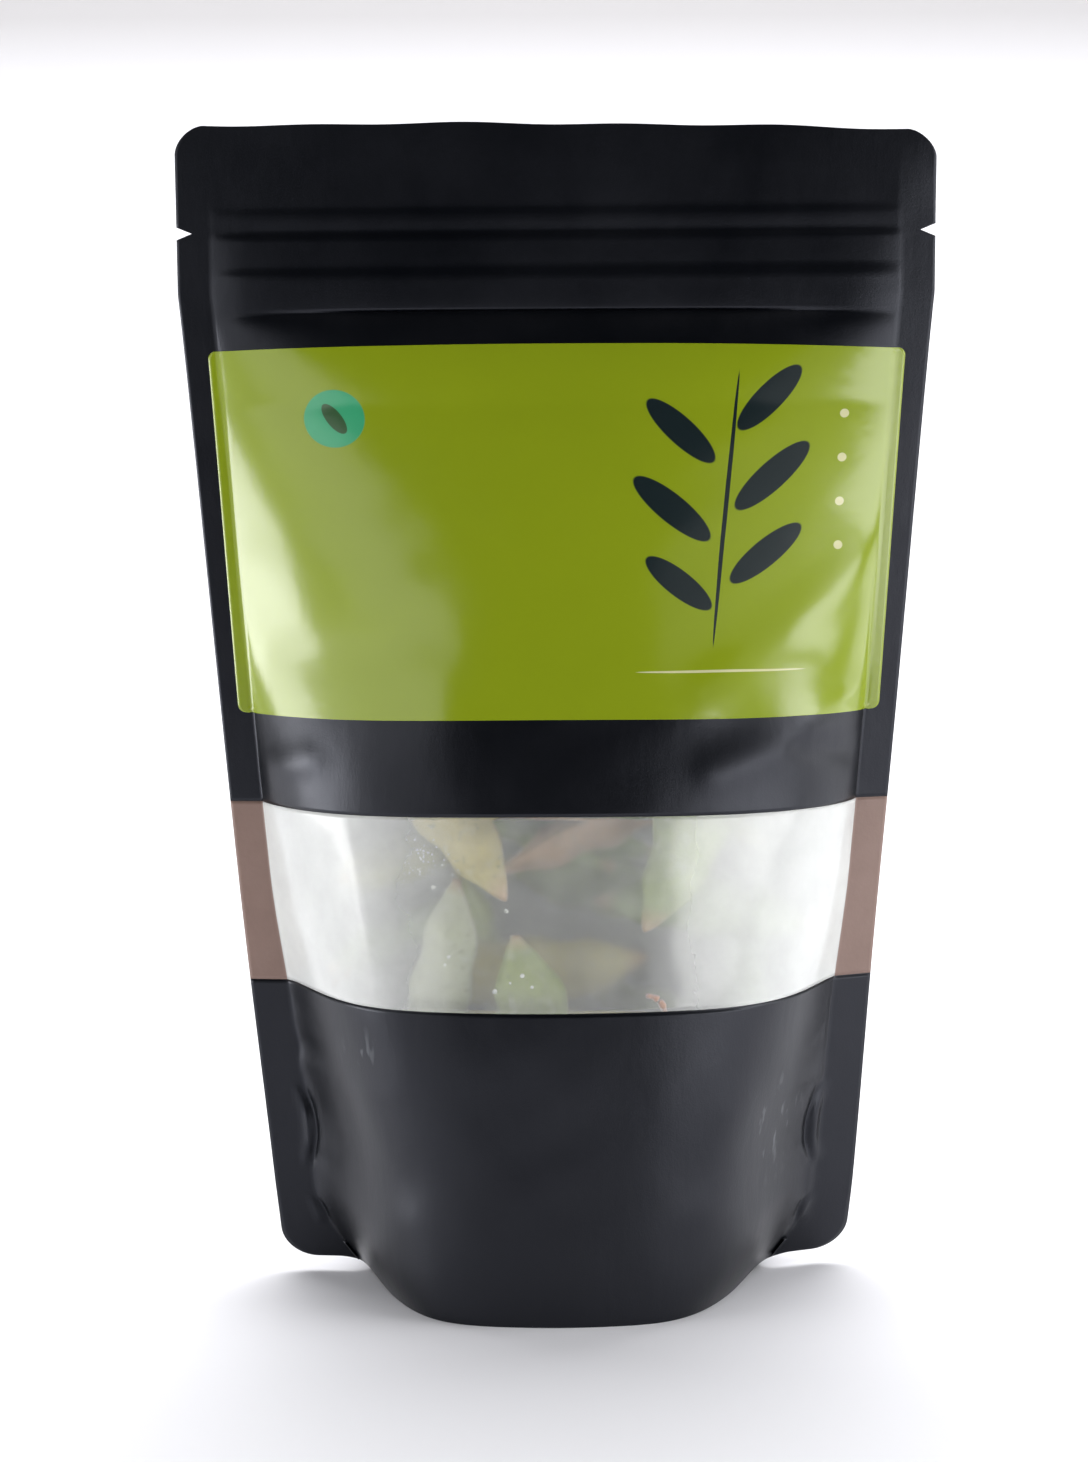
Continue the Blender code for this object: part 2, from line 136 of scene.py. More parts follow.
# Folds pressed in the films: from and to as (x, z), half width, and height in metres
FRONT_FOLDS = (
    ((0.0690, 0.1325), (0.0590, 0.1275), 0.0030, 0.0004),
    ((0.0688, 0.1586), (0.0269, 0.1276), 0.0055, 0.0006),
    ((0.0560, 0.1230), (0.0280, 0.1130), 0.0050, 0.0008),
    ((0.0640, 0.1160), (0.0480, 0.1190), 0.0030, -0.0007),
    ((-0.0660, 0.1120), (-0.0500, 0.1170), 0.0035, 0.0005),
    ((0.0300, 0.0180), (0.0360, 0.0480), 0.0060, 0.0005),
    ((-0.0320, 0.0160), (-0.0400, 0.0500), 0.0060, 0.0005),
)
BACK_FOLDS = (
    ((-0.0600, 0.1500), (-0.0300, 0.1350), 0.0050, 0.0009),
    ((0.0560, 0.1200), (0.0300, 0.1320), 0.0050, -0.0008),
    ((0.0200, 0.0700), (-0.0180, 0.0620), 0.0070, 0.0007),
    ((0.0480, 0.1900), (0.0200, 0.1800), 0.0045, 0.0007),
)

# How far the welt, the grooves and the flat band of the zip stand off the seal plane, down from the top, as
# (height in metres, millimetres out)
ZIP_STANDS = (
    (0.2316, 0.0), (0.2308, 0.05), (0.2302, 0.34), (0.2288, 0.42), (0.2262, 0.30), (0.2257, 0.42),
    (0.2252, 1.05), (0.2240, 1.12), (0.2210, 1.25), (0.2186, 1.32), (0.2178, 1.75), (0.2168, 2.02),
    (0.2120, 2.00), (0.2092, 1.92), (0.2060, 1.70), (0.1900, 0.0),
)
ZIP_TILT = 0.0030
ZIP_FINE = np.linspace(0.188, 0.234, 461)
ZIP_SOFTENING = np.ones(7) / 7
MM = 0.001

# Curved puckers beside the side seals: foot, height and depth. Lip and groove: distance from the edge, spread
CRESCENTS = ((0.0235, 0.0185, 0.0009), (0.0100, 0.0068, 0.0005))
CRESCENT_BOW = 2.2
CRESCENT_OUT = 0.0004
CRESCENT_FULLNESS = 0.6
LIP = (0.0012, 0.0011)
LIP_SHARE = 0.9
GROOVE = (-0.0001, 0.0007)

# How much the seals curl back on each side, and the least share of it, which they have high up
CURL_RIGHT, CURL_LEFT = 0.36, 0.09
CURL_LEAST = 0.35
CURL_GROWS_BELOW = 0.13
CURL_GROWS_OVER = 0.06
CURL_FADES_OVER = 0.02
CURL_BEGINS = 0.0008

# Unevenness of the films: height, size and seed. The crinkle runs up inside the seams between two heights
SWELLS = ((0.00030, 0.055, 5), (0.00005, 0.016, 9))
FULL_SWELL = 0.02
CRINKLE = (0.00022, 0.007, 13)
CRINKLE_ACROSS = (0.95, 0.06)
CRINKLE_STRETCH = 0.3
CRINKLE_FROM, CRINKLE_TO = 0.020, 0.062
CRINKLE_FADES_OVER = 0.010

# How close to the seam, as powers of the share across, the base's shift, the zip and the folds still show
BASE_HOLD, ZIP_HOLD, FOLD_HOLD = 6, 16, 30
PUCKER_REACH = 1.03

# Stations across a film out to its flank, on to the seam and over the seal, and rows in a rounded corner
FLANK = 0.72
MIDDLE_COLUMNS, FLANK_COLUMNS, SEAL_COLUMNS = 60, 34, 12
CORNER_ROWS = 14

# A generic design for the label, as ovals: middle and half sizes in label heights, turn in degrees, and ink
LABEL_SHAPE = 1.80
NAVY, CREAM = (0.010, 0.018, 0.020), (0.62, 0.60, 0.34)
MINT, GREEN_DARK = (0.045, 0.36, 0.17), (0.03, 0.09, 0.03)
LABEL_MOTIFS = (
    ((1.335, 0.560), (0.006, 0.370), -4, NAVY),
    ((1.440, 0.860), (0.036, 0.115), -42, NAVY),
    ((1.215, 0.770), (0.036, 0.120), 46, NAVY),
    ((1.455, 0.650), (0.038, 0.130), -46, NAVY),
    ((1.195, 0.560), (0.038, 0.130), 50, NAVY),
    ((1.445, 0.440), (0.036, 0.120), -50, NAVY),
    ((1.215, 0.360), (0.034, 0.110), 52, NAVY),
    ((1.335, 0.125), (0.230, 0.0035), 0, CREAM),
    ((1.640, 0.820), (0.012, 0.012), 0, CREAM),
    ((1.640, 0.700), (0.012, 0.012), 0, CREAM),
    ((1.640, 0.580), (0.012, 0.012), 0, CREAM),
    ((1.640, 0.460), (0.012, 0.012), 0, CREAM),
    ((0.330, 0.810), (0.078, 0.078), 0, MINT),
    ((0.330, 0.810), (0.020, 0.048), 35, GREEN_DARK),
)

# Scuffs on the bends of the front film near its foot: place as (x, z), and radius
SCUFFS = (((0.0455, 0.0370), 0.0140), ((-0.0426, 0.0554), 0.0070))


def smooth(value):
    share = np.clip(value, 0.0, 1.0)
    return share * share * (3.0 - 2.0 * share)


def hump(value, middle, spread):
    return np.exp(-(((value - middle) / spread) ** 2))


def ripples(x, z, size, seed, waves=14):
    """Gentle unevenness between about -1 and 1, with swells of roughly this size."""
    rng = random.Random(seed)
    total = np.zeros(np.broadcast(x, z).shape)
    for _ in range(waves):
        turn = rng.uniform(0, math.pi)
        length = size * rng.uniform(0.7, 1.8)
        phase = rng.uniform(0, 2 * math.pi)
        total = total + np.sin((x * math.cos(turn) + z * math.sin(turn)) * 2 * math.pi / length + phase)
    return total / math.sqrt(waves)


def half_width(z):
    down = np.clip(1.0 - z / FILL_TOP, 0.0, 1.0)
    return WIDTH / 2 - SIDE_DRAW_IN * down**DRAW_IN_POWER + SIDE_BOW * np.sin(math.pi * down)


def seam_at(z):
    """Half width between the side seals. These are wider low down, and sweep in at the foot."""
    wider = SEAL_WIDER_LOW * smooth((SEAL_WIDER_BELOW - z) / SEAL_WIDENS_OVER)
    sweep = np.clip(1.0 - z / SEAL_SWEEP_TALL, 0.0, 1.0)
    return half_width(z) - SEAL_WIDE - wider - SEAL_SWEEP * sweep**2


def corner_cut(from_end, radius, squareness=2.0):
    """How much a rounded corner takes off the width at this distance from the sheet's end."""
    inner = np.clip(radius - from_end, 0.0, radius) / radius
    return radius * (1.0 - (1.0 - inner**squareness) ** (1.0 / squareness))


def rounded_edge(z):
    """Outer edge of the seals with the ears, the top corners and the tear notches."""
    top_cut = corner_cut(HEIGHT - z, TOP_CORNER_RADIUS, TOP_CORNER_SQUARENESS)
    edge = half_width(z) - corner_cut(z, EAR_RADIUS) - top_cut
    notch = np.clip(1.0 - np.abs(z - NOTCH_HEIGHT) / NOTCH_HALF_TALL, 0.0, 1.0)
    return edge - NOTCH_DEEP * notch


def swell(z):
    """Distance of each film from the seal plane in the middle of the width."""
    up = np.clip(z / BODY_TOP, 0.0, 1.0)
    return BASE_HALF_DEPTH * (1.0 - up**TAPER_POWER) ** TAPER_ROUNDNESS


def softened(values):
    """Values at the shape's heights, carried over finely spaced heights without kinks."""
    fine = np.interp(SHAPE_FINE, SHAPE_HEIGHTS, values)
    return np.convolve(np.pad(fine, len(SOFTENING) // 2, mode="edge"), SOFTENING, mode="valid")


SHAPE_ROWS = [softened(row) for row in (BOXINESSES, PINCHES, LENS_SHARES)]


def bulge(across, z):
    """Distance of the film's inner face from the seal plane, across from 0 at the middle to 1 at the seam."""
    across = np.clip(across, 0.0, 1.0)
    boxiness, pinch, lens = (np.interp(z, SHAPE_FINE, row) for row in SHAPE_ROWS)
    box = np.maximum(0.0, 1.0 - across**boxiness) ** pinch
    return HALF_GAP + swell(z) * ((1.0 - lens) * box + lens * (1.0 - across**2))


def inside_film(x, z, deep):
    """A point this far behind the front film's inner face."""
    share = min(abs(x) / float(seam_at(z)), 1.0)
    return Vector((x, -float(bulge(share, z)) + deep, z))


def ear_lift(x, z):
    """The ears at the foot of the seals stand a little off the floor."""
    fade = np.clip(1.0 - z / LIFT_FADES_BY, 0.0, 1.0)
    return EAR_LIFT * smooth((np.abs(x) - EAR_BEGINS) / EAR_RISES_OVER) * fade


def top_edge_dip(x, z):
    """The top edge is a little wavy, and lower toward its right end."""
    dip = TOP_DIP * smooth((x - TOP_DIP_BEGINS) / TOP_DIP_WIDE) ** TOP_DIP_POWER
    for high, rate, start in TOP_WAVES:
        dip = dip + high * np.sin(x * rate + start)
    return dip * smooth((z - TOP_SEAL_FOOT) / TOP_SEAL_TALL)


def sheet_points(across, z, facing):
    """Rows of points on a film's inner face, before its folds and relief are added."""
    across, z = np.meshgrid(across, z)
    share = np.abs(across)
    seam = seam_at(z)
    outer = seam + (rounded_edge(z) - seam) * (share - SEAM) / (1.0 - SEAM)
    x = np.where(share <= SEAM, seam * share / SEAM, outer) * np.sign(across)
    risen = z + np.interp(z, RISE_HEIGHTS, RISES) * np.clip(1.0 - (share / SEAM) ** 2, 0.0, 1.0)
    y = facing * bulge(share / SEAM, risen)
    inside = np.clip(1.0 - (share / SEAM) ** BASE_HOLD, 0.0, 1.0)
    shift = BASE_SHIFT * smooth((BASE_SHIFT_TALL - z) / BASE_SHIFT_TALL) * inside
    lean = LEAN * smooth((LEANS_BELOW - z) / LEANS_OVER) - shift
    return np.stack((x + lean, y, risen + ear_lift(x, z) - top_edge_dip(x, z)), axis=-1)


def outward(points, facing):
    """Unit normals of a grid of points, pointing out of the pouch."""
    over = np.gradient(points, axis=1)
    up = np.gradient(points, axis=0)
    normal = np.cross(over, up) * -facing
    length = np.linalg.norm(normal, axis=-1, keepdims=True)
    return normal / np.maximum(length, 1e-12)


def along_fold(x, z, start, end, half_wide):
    """How strongly a point lies on a fold: 1 on its line, falling off across it and past its ends."""
    run = np.array(end) - np.array(start)
    length = float(np.hypot(*run))
    dx, dz = x - start[0], z - start[1]
    on = (dx * run[0] + dz * run[1]) / length
    off = (dx * run[1] - dz * run[0]) / length
    past = np.maximum(0.0, np.abs(on - length / 2) - length / 2 + half_wide)
    return np.exp(-((off / half_wide) ** 2) - (past / half_wide) ** 2)


def zip_relief(x, z):
    """The welt, the grooves and the flat band that the zip strips press into the film."""
    heights, stands = zip(*reversed(ZIP_STANDS))
    pressed = np.interp(ZIP_FINE, heights, stands) * MM
    soft = np.convolve(np.pad(pressed, len(ZIP_SOFTENING) // 2, mode="edge"), ZIP_SOFTENING, mode="valid")
    return np.interp(z - ZIP_TILT * x, ZIP_FINE, soft)


def crescents(x, z):
    """Curved puckers beside the side seals, above the base seal: a groove with a raised lip outside it."""
    total = np.zeros(x.shape)
    for low, tall, deep in CRESCENTS:
        arch = np.sin(math.pi * np.clip((z - low) / tall, 0.0, 1.0))
        edge = np.abs(x) - (seam_at(z) - CRESCENT_OUT - CRESCENT_BOW * deep * arch)
        pressed = arch**CRESCENT_FULLNESS * deep
        total = total + pressed * (LIP_SHARE * hump(edge, *LIP) - hump(edge, *GROOVE))
    return total


def seal_curl(x, z):
    """The seals curl back a little, more on the right, and both films go with them."""
    past = np.maximum(0.0, np.abs(x) - seam_at(z) + CURL_BEGINS)
    low = CURL_LEAST + (1.0 - CURL_LEAST) * smooth((CURL_GROWS_BELOW - z) / CURL_GROWS_OVER)
    return past * np.where(x > 0, CURL_RIGHT, CURL_LEFT) * low * smooth((HEIGHT - z) / CURL_FADES_OVER)


def relief(points, across, facing):
    """How far the film stands off its plain shape: zip, folds, puckers and general unevenness."""
    x, z = points[..., 0], points[..., 2]
    share = np.abs(across)[None, :] / SEAM
    inside = 1.0 - np.clip(share, 0.0, 1.0) ** FOLD_HOLD
    total = zip_relief(x, z) * (1.0 - np.clip(share, 0.0, 1.0) ** ZIP_HOLD)
    total = total + crescents(x, z) * (share < PUCKER_REACH)
    for start, end, half_wide, high in FRONT_FOLDS if facing < 0 else BACK_FOLDS:
        total = total + high * along_fold(x, z, start, end, half_wide) * inside
    full = smooth(swell(z) / FULL_SWELL) * inside
    for high, size, seed in SWELLS:
        total = total + high * full * ripples(x, z, size, seed + facing)
    high, size, seed = CRINKLE
    ends = smooth((CRINKLE_TO - z) / CRINKLE_FADES_OVER) * smooth((z - CRINKLE_FROM) / CRINKLE_FADES_OVER)
    crinkled = hump(share, *CRINKLE_ACROSS) * ends
    return total + high * crinkled * ripples(x * CRINKLE_STRETCH, z, size, seed + facing)


def film_points(across, z, facing, lift=0.0):
    """Rows of points on a film's inner face, or lifted off it, with its folds, relief and curled seals."""
    points = sheet_points(across, z, facing)
    normal = outward(points, facing)
    lifted = points + normal * (relief(points, across, facing) + lift)[..., None]
    lifted[..., 1] = np.where(facing * lifted[..., 1] < HALF_GAP, facing * HALF_GAP, lifted[..., 1])
    lifted[..., 1] += seal_curl(lifted[..., 0], lifted[..., 2])
    return lifted


def spaced(start, end, step):
    return np.linspace(start, end, max(2, int(round((end - start) / step)) + 1))


def column_shares(outermost=1.0):
    """Stations across a film, closer together at the seams."""
    middle = np.linspace(0, FLANK, MIDDLE_COLUMNS)
    flank = np.linspace(FLANK, SEAM, FLANK_COLUMNS)[1:]
    half = np.concatenate((middle, flank, np.linspace(SEAM, outermost, SEAL_COLUMNS)[1:]))
    return np.concatenate((-half[:0:-1], half))


def corner_heights(radius, end, direction):
    """Heights through a rounded corner, closer together at the sheet's end."""
    angles = np.linspace(0, math.pi / 2, CORNER_ROWS)
    return end + direction * radius * (1.0 - np.cos(angles))


def dress(piece, replaced):
    """Rides a piece on the one body, in place of a solid."""
    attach(piece, "root")
    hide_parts(replaced)


def add_grid(name, points, materials, uv=None):
    """A smooth sheet from rows of points, with UVs from 0 to 1 over it where they are asked for."""
    rows, cols = points.shape[:2]
    mesh = bpy.data.meshes.new(name)
    index = np.arange(rows * cols).reshape(rows, cols)
    corners = (index[:-1, :-1], index[:-1, 1:], index[1:, 1:], index[1:, :-1])
    quads = np.stack(corners, axis=-1).reshape(-1, 4)
    mesh.from_pydata(points.reshape(-1, 3).tolist(), [], quads.tolist())
    if uv is not None:
        layer = mesh.uv_layers.new(name="Sheet")
        flat = uv.reshape(-1, 2)[[loop.vertex_index for loop in mesh.loops]]
        layer.data.foreach_set("uv", flat.astype(np.float32).ravel())
    return add_mesh(name, mesh, materials)


def add_mesh(name, mesh, materials):
    for finish in materials:
        mesh.materials.append(finish)
    mesh.shade_smooth()
    made = bpy.data.objects.new(name, mesh)
    bpy.context.scene.collection.objects.link(made)
    return made


def thicken(piece, thickness, inner_slot=0):
    """Gives a sheet its thickness on its outer side. The other side may take another material."""
    solid = piece.modifiers.new("Thickness", "SOLIDIFY")
    solid.thickness = thickness
    solid.offset = 1.0
    solid.material_offset = inner_slot


def outside_first(piece, facing):
    """Turns a sheet's faces so that they point out of the pouch."""
    mesh = piece.data
    normals = np.zeros(len(mesh.polygons) * 3)
    mesh.polygons.foreach_get("normal", normals)
    if normals.reshape(-1, 3)[:, 1].sum() * facing < 0:
        mesh.flip_normals()
    return piece


def nodes_for(name):
    made = bpy.data.materials.new(name)
    made.use_nodes = True
    tree = made.node_tree
    return made, tree, tree.nodes["Principled BSDF"]


def put(tree, socket, value):
    """Links a socket into an input, or sets the input to a value."""
    if isinstance(value, bpy.types.NodeSocket):
        tree.links.new(value, socket)
    else:
        socket.default_value = value


def node(tree, kind, inputs=None, **settings):
    """A shader node with its settings, and its inputs given as values or as sockets to link."""
    made = tree.nodes.new(kind)
    for key, value in settings.items():
        setattr(made, key, value)
    for key, value in (inputs or {}).items():
        put(tree, made.inputs[key], value)
    return made


def object_coords(tree):
    return node(tree, "ShaderNodeTexCoord").outputs["Object"]


def vector_math(tree, operation, first, second=(0.0, 0.0, 0.0)):
    return node(tree, "ShaderNodeVectorMath", {0: first, 1: second}, operation=operation).outputs


def noise(tree, coords, scale, detail=3.0, rough=0.55, stretch=None):
    if stretch:
        coords = node(tree, "ShaderNodeMapping", {"Vector": coords, "Scale": stretch}).outputs[0]
    inputs = {"Vector": coords, "Scale": scale, "Detail": detail, "Roughness": rough}
    return node(tree, "ShaderNodeTexNoise", inputs).outputs[0]


def ramp(tree, factor, stops):
    """A colour ramp from (place, colour) pairs. A colour may be one number, for grey."""
    made = node(tree, "ShaderNodeValToRGB", {"Fac": factor})
    while len(made.color_ramp.elements) < len(stops):
        made.color_ramp.elements.new(0.5)
    for element, (place, colour) in zip(made.color_ramp.elements, stops):
        element.position = place
        element.color = (*colour, 1.0) if isinstance(colour, tuple) else (colour, colour, colour, 1.0)
    return made.outputs[0]


def mix(tree, factor, first, second):
    made = tree.nodes.new("ShaderNodeMix")
    made.data_type = "RGBA"
    for socket, value in ((made.inputs[0], factor), (made.inputs[6], first), (made.inputs[7], second)):
        put(tree, socket, (*value, 1.0) if isinstance(value, tuple) else value)
    return made.outputs[2]


def number(tree, operation, first, second=0.0, third=0.0):
    return node(tree, "ShaderNodeMath", {0: first, 1: second, 2: third}, operation=operation).outputs[0]


def bump(tree, shader, height, strength, distance):
    made = node(tree, "ShaderNodeBump", {"Height": height, "Strength": strength, "Distance": distance})
    tree.links.new(made.outputs[0], shader.inputs["Normal"])


def near(tree, coords, place, radius):
    """1 at a place on the front film, given as (x, z), falling to 0 at this distance from it."""
    away = vector_math(tree, "DISTANCE", coords, inside_film(*place, 0.0))["Value"]
    return ramp(tree, number(tree, "DIVIDE", away, radius * 2), ((0.0, 1.0), (0.5, 0.0)))


def black_film():
    """Soft matte blue-black laminate with a fine tooth, faint cloudiness, and scuffs near its foot."""
    made, tree, shader = nodes_for("black_film")
    coords = object_coords(tree)
    cloud = noise(tree, coords, 38.0, 4.0)
    scuff = ramp(tree, noise(tree, coords, 430.0, 2.0, 0.5, (1.0, 1.0, 0.35)), ((0.60, 0.0), (0.68, 0.7)))
    places = number(tree, "ADD", *(near(tree, coords, place, radius) for place, radius in SCUFFS))
    base = mix(tree, cloud, (0.0004, 0.0008, 0.0018), (0.0009, 0.0013, 0.0026))
    scuffed = mix(tree, number(tree, "MULTIPLY", scuff, places), base, (0.16, 0.17, 0.18))
    tree.links.new(scuffed, shader.inputs["Base Color"])
    tree.links.new(ramp(tree, cloud, ((0.3, 0.29), (0.7, 0.38))), shader.inputs["Roughness"])
    shader.inputs["Specular IOR Level"].default_value = 0.43
    shader.inputs["Specular Tint"].default_value = (0.84, 0.87, 1.0, 1.0)
    tooth = noise(tree, coords, 2600.0, 2.0)
    crease = noise(tree, coords, 190.0, 3.0, 0.5, (1.0, 1.0, 0.35))
    bump(tree, shader, number(tree, "MULTIPLY_ADD", tooth, 0.25, crease), 0.16, 0.0006)
    return made


def silver_inside():
    """The bright inner face of the laminate."""
    made, tree, shader = nodes_for("silver_inside")
    coords = object_coords(tree)
    cloud = noise(tree, coords, 60.0, 3.0)
    tree.links.new(mix(tree, cloud, (0.40, 0.41, 0.40), (0.58, 0.59, 0.57)), shader.inputs["Base Color"])
    shader.inputs["Metallic"].default_value = 0.55
    tree.links.new(ramp(tree, cloud, ((0.3, 0.35), (0.7, 0.55))), shader.inputs["Roughness"])
    bump(tree, shader, noise(tree, coords, 130.0, 3.0), 0.3, 0.002)
    return made


def clear_film():
    """Clear film, frosted inside and more so toward the sides. It lets the lamps' light through."""
    made, tree, shader = nodes_for("clear_film")
    coords = object_coords(tree)
    across = node(tree, "ShaderNodeSeparateXYZ", {"Vector": coords}).outputs["X"]
    side = number(tree, "ABSOLUTE", number(tree, "ADD", across, 0.002))
    sideways = ramp(tree, number(tree, "MULTIPLY", side, 14.0), ((0.26, 0.0), (0.62, 1.0)))
    cloud = noise(tree, coords, 95.0, 4.0)
    haze = number(tree, "MULTIPLY_ADD", cloud, 0.15, number(tree, "MULTIPLY_ADD", sideways, 0.30, 0.06))
    shader.inputs["Base Color"].default_value = (0.93, 0.94, 0.93, 1.0)
    tree.links.new(number(tree, "SUBTRACT", 1.0, haze), shader.inputs["Transmission Weight"])
    shader.inputs["Roughness"].default_value = 0.27
    shader.inputs["IOR"].default_value = 1.2
    shader.inputs["Coat Weight"].default_value = 0.6
    shader.inputs["Coat Roughness"].default_value = 0.12
    bump(tree, shader, noise(tree, coords, 70.0, 2.0), 0.12, 0.002)
    through = node(tree, "ShaderNodeBsdfTransparent", {"Color": (0.8, 0.8, 0.8, 1.0)}).outputs[0]
    shadow = node(tree, "ShaderNodeLightPath").outputs["Is Shadow Ray"]
    both = node(tree, "ShaderNodeMixShader", {0: shadow, 1: shader.outputs[0], 2: through})
    tree.links.new(both.outputs[0], tree.nodes["Material Output"].inputs["Surface"])
    return made


def sealed_clear_film():
    """Where the clear film is welded to the back film, warm brown shows through it."""
    made, tree, shader = nodes_for("sealed_clear_film")
    coords = object_coords(tree)
    cloud = noise(tree, coords, 120.0, 3.0)
    tree.links.new(mix(tree, cloud, (0.20, 0.125, 0.10), (0.27, 0.18, 0.15)), shader.inputs["Base Color"])
    shader.inputs["Roughness"].default_value = 0.42
    bump(tree, shader, noise(tree, coords, 900.0, 2.0), 0.1, 0.0005)
    return made


def oval(tree, sheet, middle, size, turn):
    """1 inside an oval on the label, 0 outside. Sizes are in label heights, from its lower left corner."""
    inputs = {
        "Vector": sheet,
        "Location": (*middle, 0.0),
        "Rotation": (0.0, 0.0, math.radians(turn)),
        "Scale": (*size, 1.0),
    }
    moved = node(tree, "ShaderNodeMapping", inputs, vector_type="TEXTURE").outputs[0]
    away = vector_math(tree, "LENGTH", moved)["Value"]
    return ramp(tree, number(tree, "MULTIPLY", away, 0.5), ((0.49, 1.0), (0.51, 0.0)))


def label_print():
    """Glossy olive green sticker with a generic design: a dark sprig, a mint spot, a pale line and dots."""
    made, tree, shader = nodes_for("label_print")
    coords = node(tree, "ShaderNodeTexCoord")
    cloud = noise(tree, coords.outputs["Object"], 30.0, 2.0)
    colour = mix(tree, cloud, (0.226, 0.298, 0.0080), (0.258, 0.330, 0.0100))
    sheet = vector_math(tree, "MULTIPLY", coords.outputs["UV"], (LABEL_SHAPE, 1.0, 0.0))[0]
    for middle, size, turn, ink in LABEL_MOTIFS:
        colour = mix(tree, oval(tree, sheet, middle, size, turn), colour, ink)
    tree.links.new(colour, shader.inputs["Base Color"])
    shader.inputs["Roughness"].default_value = 0.18
    shader.inputs["Specular IOR Level"].default_value = 0.70
    bump(tree, shader, noise(tree, coords.outputs["Object"], 260.0, 2.0), 0.05, 0.0006)
    return made


def zip_plastic():
    """Milky plastic of the zip strips."""
    made, tree, shader = nodes_for("zip_plastic")
    cloud = noise(tree, object_coords(tree), 200.0, 2.0)
    tree.links.new(mix(tree, cloud, (0.52, 0.52, 0.50), (0.62, 0.62, 0.60)), shader.inputs["Base Color"])
    shader.inputs["Roughness"].default_value = 0.35
    return made


# Pod colours by tint: green, yellow-green, yellow-tan, pinkish tan and pale
POD_TONES = (
    (0.0, (0.20, 0.30, 0.035)),
    (0.25, (0.36, 0.42, 0.06)),
    (0.5, (0.62, 0.50, 0.16)),
    (0.75, (0.50, 0.27, 0.15)),
    (1.0, (0.52, 0.55, 0.36)),
)
POD_SHADE = 0.55


def pod_skin():
    """Frosted pod skin, coloured by pod, brown at the ends and along the suture, with speckles and ice."""
    made, tree, shader = nodes_for("pod_skin")
    texture = node(tree, "ShaderNodeTexCoord")
    coords = texture.outputs["Object"]
    place = node(tree, "ShaderNodeSeparateXYZ", {"Vector": texture.outputs["UV"]})
    tint = node(tree, "ShaderNodeAttribute", attribute_name="tint").outputs["Fac"]
    cloud = noise(tree, coords, 130.0, 4.0)
    shaded = [(at, tuple(POD_SHADE * c for c in tone)) for at, tone in POD_TONES]
    skin = mix(tree, cloud, ramp(tree, tint, POD_TONES), ramp(tree, tint, shaded))
    ends = ramp(tree, place.outputs["X"], ((0.0, 1.0), (0.09, 0.0), (0.88, 0.0), (0.98, 0.8)))
    ended = mix(tree, ends, skin, (0.50, 0.30, 0.19))
    suture = ramp(tree, place.outputs["Y"], ((0.0, 1.0), (0.022, 0.0), (0.978, 0.0), (1.0, 1.0)))
    lined = mix(tree, number(tree, "MULTIPLY", suture, 0.8), ended, (0.12, 0.09, 0.03))
    speckle = ramp(tree, noise(tree, coords, 900.0, 2.0), ((0.60, 0.0), (0.68, 0.7)))
    speckled = mix(tree, speckle, lined, (0.09, 0.12, 0.015))
    frost = ramp(tree, noise(tree, coords, 260.0, 5.0), ((0.56, 0.0), (0.74, 1.0)))
    iced = mix(tree, number(tree, "MULTIPLY", frost, 0.28), speckled, (0.78, 0.80, 0.76))
    tree.links.new(iced, shader.inputs["Base Color"])
    tree.links.new(ramp(tree, cloud, ((0.3, 0.38), (0.7, 0.6))), shader.inputs["Roughness"])
    bump(tree, shader, noise(tree, coords, 420.0, 4.0), 0.35, 0.0012)
    return made


def ice_bead():
    """Small frozen drops on the inside of the clear film."""
    made, tree, shader = nodes_for("ice_bead")
    cloud = noise(tree, object_coords(tree), 900.0, 2.0)
    tree.links.new(mix(tree, cloud, (0.50, 0.51, 0.48), (0.80, 0.81, 0.78)), shader.inputs["Base Color"])
    shader.inputs["Roughness"].default_value = 0.12
    bump(tree, shader, cloud, 0.2, 0.0003)
    return made


def stem_skin():
    """Dry stem, brown on the left of the pouch and pinkish on the right."""
    made, tree, shader = nodes_for("stem_skin")
    coords = object_coords(tree)
    across = node(tree, "ShaderNodeSeparateXYZ", {"Vector": coords}).outputs["X"]
    tones = ((0.3, (0.20, 0.095, 0.035)), (0.6, (0.66, 0.46, 0.40)))
    side = ramp(tree, number(tree, "MULTIPLY_ADD", across, 10.0, 0.5), tones)
    streak = noise(tree, coords, 700.0, 3.0)
    tree.links.new(mix(tree, streak, side, (0.30, 0.19, 0.12)), shader.inputs["Base Color"])
    shader.inputs["Roughness"].default_value = 0.5
    bump(tree, shader, streak, 0.4, 0.0005)
    return made


